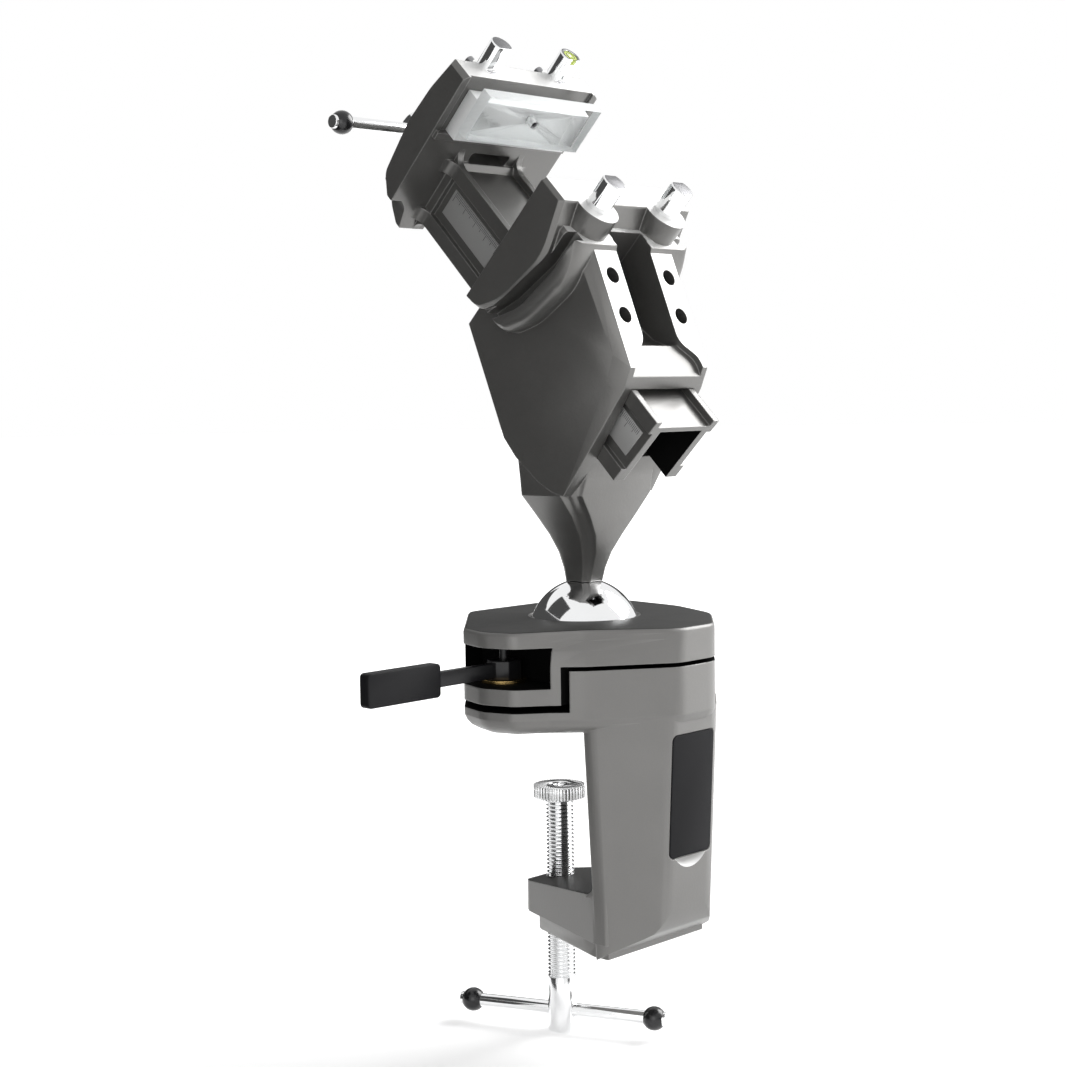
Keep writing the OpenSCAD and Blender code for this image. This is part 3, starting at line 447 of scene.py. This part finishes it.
# %% Smooth copies of the CAD parts
FINISH_OF = {
    head_coat: ["vise_body", "moving_jaw"],
    base_coat: ["clamp_frame", "socket_cap"],
    chrome: ["ball", "fixed_pins", "moving_pins", "vise_handle_bar", "bench_handle_bar"],
    plated: ["bench_pad", "pad_screw"],
    screw_metal: ["cap_screws", "neck_pin", "fixed_plate_screw", "fixed_pin_screws", "nut_screw",
                  "moving_plate_screw", "moving_pin_screws", "screw_ring"],
    ground: ["fixed_jaw_insert", "moving_jaw_insert"],
    brass: ["lever_washer", "screw_nut"],
    bearing: ["ball_seat"],
    black_ball: ["bench_handle_balls", "vise_handle_balls"],
    black_grip: ["lever_grip"],
    black_arm: ["lever_arm", "lever_stud"],
    label_film: ["label_plate"],
    acrylic: ["moving_clear_plate"],
}
# Triangles that lie within this angle are one flat face
FLAT = math.radians(0.6)
# These pieces get real bevels, the others in this cell keep their CAD edges
BEVEL_MM = {"fixed_jaw_insert": 0.3, "moving_jaw_insert": 0.4, "moving_clear_plate": 0.35,
            "lever_grip": 0.8, "lever_arm": 0.4, "bench_pad": 0.3,
            "vise_handle_bar": 0.8, "bench_handle_bar": 0.8,
            "label_plate": 0.25, "pad_screw": 0.25, "fixed_pins": 0.25, "moving_pins": 0.25}
body_of = {n: b for b, members in frame["record"]["behaviour"]["bodies"].items() for n in members}


def show(bm, name, finish, body, replaced=(), smooth_angle=32):
    """Makes an object of a bmesh, on its body and in its finish."""
    for edge in bm.edges:
        edge.smooth = len(edge.link_faces) == 2 and edge.calc_face_angle(0) < math.radians(smooth_angle)
    for face in bm.faces:
        face.smooth = True
    piece = object_of(name, bm, finish.material)
    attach(piece, body)
    if replaced:
        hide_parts(*replaced)
    return piece


def merged(node):
    """A bmesh of a CAD part with its doubles merged."""
    bm = bmesh.new()
    bm.from_mesh(nodes[node].data)
    bmesh.ops.remove_doubles(bm, verts=bm.verts, dist=0.000002)
    return bm


def bevelled(bm, size, angle=40):
    """Joins flat triangles into whole faces, then bevels the sharp edges."""
    bmesh.ops.dissolve_limit(bm, angle_limit=FLAT, verts=bm.verts, edges=bm.edges)
    sharp = [e for e in bm.edges if len(e.link_faces) == 2 and e.calc_face_angle(0) > math.radians(angle)]
    bmesh.ops.bevel(bm, geom=sharp, offset=size, offset_type="OFFSET", affect="EDGES", segments=2,
                    profile=0.5, material=-1, clamp_overlap=True)


pieces = {}
for finish, members in FINISH_OF.items():
    for node in members:
        bm = merged(node)
        if node in BEVEL_MM:
            bevelled(bm, BEVEL_MM[node] * MM)
        pieces[node] = show(bm, node + "_finished", finish, body_of[node], [node])
print("smooth copies:", len(pieces))

# %% [markdown]
# Some faces of a piece take another material than the rest. Painted shade goes
# on the top of the cap and the arm's top, and a painted black shade goes on the
# faces in the slits, the lever's window and the inside of the bar. A pale finish,
# partly bare cut metal and partly a painted highlight, goes on the scoop under
# the label, the rails and the jaws' tops. The ends of the pins and the sawn
# edges of the clear plate get their own finishes. A second material is added,
# and faces take it when a test on their centre and direction says so, both in
# millimetres. The head leans 45 degrees, so its tests see both in the head's
# own directions.

# %% Second finishes
BALL_CENTRE = (0.0, -0.0185, 0.0385)
HEAD_LEAN = math.radians(45)
head_place = Matrix.Translation(BALL_CENTRE) @ Matrix.Rotation(HEAD_LEAN, 4, "X")
into_head = head_place.inverted()


def refinish(piece, finish, chosen, tilted=True):
    """Gives the faces for which chosen(centre, direction) is true a finish."""
    piece.data.materials.append(finish.material)
    to_own = into_head if tilted else Matrix.Identity(4)
    count = 0
    for face in piece.data.polygons:
        if chosen(to_own @ face.center / MM, to_own.to_3x3() @ face.normal):
            face.material_index = len(piece.data.materials) - 1
            count += 1
    print(piece.name, "has", count, "faces in", finish.material.name)


def at_planes(planes):
    """A test for faces on any of the planes, given as axis, value and direction."""
    return lambda c, n: any(abs(c[axis] - value) < 0.3 and n[axis] * side > 0.9
                            for axis, value, side in planes)


# Of the base, in millimetres from the bench seat
CAP_TOP_LOW = 40
ARM_TOP_LOW, ARM_TOP_HIGH = -90, -75
CAP_GAPS = [(2, 31.8, -1), (2, 13.9, -1), (0, -36.0, 1), (1, -56.5, -1),
            (0, -45.5, -1), (1, -53.0, 1), (1, 7.5, -1), (2, 40.5, -1), (2, 21.5, 1)]
FRAME_GAPS = [(2, 29.8, 1), (2, 10.5, 1), (0, -33.1, -1), (1, -59.4, 1)]
SCOOP, SCOOP_R = Vector((0.0, -93.5, -54.4)), 16.0
# Of the head, in millimetres in its own directions
RAIL_LEAN = math.radians(23.3)
RAIL_UP = Vector((0.0, -math.sin(RAIL_LEAN), math.cos(RAIL_LEAN)))
RAIL_POINT = Vector((0.0, 76.7, 142.8))
FIXED_TOP_LOW, MOVING_TOP_LOW = 156, 165
BAR_INSIDE = [(0, 15.2, -1), (0, -15.2, 1), (2, 115.6, -1)]


def on_rails(c, n):
    return n.dot(RAIL_UP) > 0.995 and abs((c - RAIL_POINT).dot(RAIL_UP)) < 0.5


refinish(pieces["socket_cap"], painted_shade_top, lambda c, n: n.z > 0.9 and c.z > CAP_TOP_LOW, tilted=False)
refinish(pieces["clamp_frame"], painted_shade_top,
         lambda c, n: n.z > 0.9 and ARM_TOP_LOW < c.z < ARM_TOP_HIGH, tilted=False)
refinish(pieces["socket_cap"], painted_gap_shade, at_planes(CAP_GAPS), tilted=False)
refinish(pieces["clamp_frame"], painted_gap_shade, at_planes(FRAME_GAPS), tilted=False)
refinish(pieces["clamp_frame"], scoop_milled_and_highlight,
         lambda c, n: abs((c - SCOOP).length - SCOOP_R) < 0.4, tilted=False)
refinish(pieces["vise_body"], machined_and_highlight,
         lambda c, n: (c.z > FIXED_TOP_LOW and n.z > 0.97) or on_rails(c, n))
refinish(pieces["moving_jaw"], machined_and_highlight, lambda c, n: c.z > MOVING_TOP_LOW and n.z > 0.97)
refinish(pieces["moving_jaw"], painted_gap_shade, at_planes(BAR_INSIDE))
for pins in ("fixed_pins", "moving_pins"):
    refinish(pieces[pins], pin_end, lambda c, n: n.z > 0.9)
refinish(pieces["moving_clear_plate"], sawn_edge, lambda c, n: abs(n.y) < 0.7)

# %% [markdown]
# The two long screws have real threads. A thread is one tooth's outline spun
# round the axis while it climbs a pitch each turn, which the spin operator does
# when it is given a step along the axis. The start and end are cut flat and
# filled. The hub with its cross hole comes from the CAD part, cut off where the
# rod begins.


# %% Threaded screws
def threaded_rod(radius, depth, pitch, low, high):
    """A bmesh of a threaded rod along Z, between two heights."""
    bm = bmesh.new()
    outline = [(radius - depth, 0.0), (radius - depth, 0.12), (radius, 0.44), (radius, 0.56),
               (radius - depth, 0.88), (radius - depth, 1.0)]
    row = [bm.verts.new((r, 0.0, low - pitch + z * pitch)) for r, z in outline]
    edges = [bm.edges.new(pair) for pair in zip(row, row[1:])]
    steps, turns = 36, math.ceil((high - low) / pitch) + 2
    bmesh.ops.spin(bm, geom=row + edges, cent=(0, 0, 0), axis=(0, 0, 1), dvec=(0, 0, pitch / steps),
                   angle=2 * math.pi * turns, steps=steps * turns, use_merge=False)
    bmesh.ops.remove_doubles(bm, verts=bm.verts, dist=0.000004)
    for z, side in ((low, -1), (high, 1)):
        cut(bm, (0, 0, z), (0, 0, side))
    bmesh.ops.recalc_face_normals(bm, faces=bm.faces)
    return bm


def cut(bm, point, away):
    """Cuts off what lies past a plane and closes the cut."""
    bmesh.ops.bisect_plane(bm, geom=bm.verts[:] + bm.edges[:] + bm.faces[:], dist=0.0000001,
                           plane_co=point, plane_no=away, clear_outer=True)
    bmesh.ops.holes_fill(bm, edges=[e for e in bm.edges if e.is_boundary])


def screw(node, place, radius, depth, pitch, low, high, hub_start, hub_side):
    """The node's hub, cut at hub_start along Z, and a threaded rod in place of the rest."""
    bm = merged(node)
    bmesh.ops.transform(bm, matrix=place.inverted(), verts=bm.verts)
    bmesh.ops.dissolve_limit(bm, angle_limit=FLAT, verts=bm.verts, edges=bm.edges)
    cut(bm, (0, 0, hub_start), (0, 0, hub_side))
    rims = [e for e in bm.edges if len(e.link_faces) == 2 and e.calc_face_angle(0) > 1.2
            and max(abs(f.normal.z) for f in e.link_faces) > 0.99]
    bmesh.ops.bevel(bm, geom=rims, offset=0.7 * MM, offset_type="OFFSET", affect="EDGES", segments=2,
                    profile=0.5, material=-1)
    rod = threaded_rod(radius, depth, pitch, low, high)
    carrier = bpy.data.meshes.new("rod")
    rod.to_mesh(carrier)
    rod.free()
    bm.from_mesh(carrier)
    bpy.data.meshes.remove(carrier)
    bmesh.ops.transform(bm, matrix=place, verts=bm.verts)
    pieces[node] = show(bm, node + "_threaded", plated, body_of[node], [node], 40)
    print(node, "has", len(pieces[node].data.polygons), "faces")


BENCH_SCREW_LEN, BAR_T = 98.0, 102.8
pad_low, hub_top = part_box("bench_pad")[0][2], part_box("bench_pad")[1][2] - BENCH_SCREW_LEN * MM
screw("bench_screw", Matrix.Identity(4), radius=7.0 * MM, depth=1.15 * MM, pitch=2.0 * MM,
      low=hub_top - 0.3 * MM, high=pad_low + 0.2 * MM, hub_start=hub_top, hub_side=1)
along_bar = head_place @ Matrix.Translation((0, 0, BAR_T * MM)) @ Matrix.Rotation(math.radians(-90), 4, "X")
screw("vise_screw", along_bar, radius=6.0 * MM, depth=1.4 * MM, pitch=3.0 * MM,
      low=45.0 * MM, high=231.8 * MM, hub_start=231.5 * MM, hub_side=-1)

# %% [markdown]
# The bar carries a graduated plate in its side recess, to read the opening. It
# is thin milled metal, and its lines are painted strokes hung from its upper
# edge: one each millimetre, a longer one each five and the longest each ten.

# %% Graduated plate on the bar
plate_x, plate_back, plate_front = -19.8, 31.0, 203.0
plate_low, plate_high, plate_proud = 95.7, 110.8, 0.5
LONG_LINE, MIDDLE_LINE, SHORT_LINE = 5.6, 4.2, 2.8
bm = bmesh.new()
bmesh.ops.create_cube(bm, size=MM)
bmesh.ops.scale(bm, verts=bm.verts, vec=(
    plate_proud + 0.4, plate_front - plate_back, plate_high - plate_low))
bmesh.ops.translate(bm, verts=bm.verts, vec=Vector((
    plate_x + 0.2 - plate_proud / 2, (plate_front + plate_back) / 2, (plate_high + plate_low) / 2)) * MM)
bmesh.ops.bevel(bm, geom=bm.edges[:], offset=0.18 * MM, offset_type="OFFSET", affect="EDGES", segments=2,
                profile=0.5, material=-1)
bmesh.ops.transform(bm, matrix=head_place, verts=bm.verts)
show(bm, "scale_plate", milled, "moving_jaw")

bm = bmesh.new()
for mark in range(int(plate_front - plate_back) - 3):
    length = LONG_LINE if mark % 10 == 0 else MIDDLE_LINE if mark % 5 == 0 else SHORT_LINE
    made = bmesh.ops.create_cube(bm, size=MM)["verts"]
    bmesh.ops.scale(bm, verts=made, vec=(0.1, 0.22, length))
    bmesh.ops.translate(bm, verts=made, vec=Vector((
        plate_x - plate_proud, plate_front - 2 - mark, plate_high - 0.3 - length / 2)) * MM)
bmesh.ops.transform(bm, matrix=head_place, verts=bm.verts)
scale_lines = show(bm, "scale_lines", tick_ink, "moving_jaw")
print("graduation:", len(scale_lines.data.polygons) // 6, "lines")

# %% [markdown]
# The level sits in the top of the right moving pin. Its liquid is a short
# cylinder that takes the CAD part's place. The bubble is a flattened ball at the
# liquid's surface, a little off centre because nothing stands quite level.

# %% Level in the pin
VIAL = Vector((24.5, 223.0, 184.8))
VIAL_R, BUBBLE_R, RING_LINE_R = 4.1 * MM, 1.4 * MM, 0.13 * MM


def level_part(name, bm, finish, offset, scale, **kind):
    bmesh.ops.scale(bm, verts=bm.verts, vec=scale)
    place = head_place @ Matrix.Translation((VIAL + Vector(offset)) * MM)
    bmesh.ops.transform(bm, matrix=place, verts=bm.verts)
    show(bm, name, finish, "moving_jaw", **kind)


bm = bmesh.new()
bmesh.ops.create_cone(bm, cap_ends=True, segments=48, radius1=VIAL_R, radius2=VIAL_R, depth=2.6 * MM)
level_part("level_liquid", bm, liquid, (0, 0, -1.6), (1, 1, 1), replaced=["bubble_vial"])
bm = bmesh.new()
bmesh.ops.create_uvsphere(bm, u_segments=32, v_segments=16, radius=BUBBLE_R)
level_part("level_bubble", bm, bubble_painted_sheen, (-0.6, 0.5, -0.35), (1, 1, 0.22))
for index, ring_r in enumerate((2.4, 3.9)):
    bm = bmesh.new()
    ring = bmesh.ops.create_circle(bm, segments=8, radius=RING_LINE_R)["verts"]
    bmesh.ops.rotate(bm, verts=ring, cent=(0, 0, 0), matrix=Matrix.Rotation(math.radians(90), 3, "X"))
    bmesh.ops.translate(bm, verts=ring, vec=(ring_r * MM, 0, 0))
    bmesh.ops.spin(bm, geom=bm.verts[:] + bm.edges[:], cent=(0, 0, 0), axis=(0, 0, 1), angle=2 * math.pi,
                   steps=40, use_merge=True)
    bmesh.ops.recalc_face_normals(bm, faces=bm.faces)
    level_part("level_ring_%d" % index, bm, tick_ink, (0, 0, -0.3), (1, 1, 1))
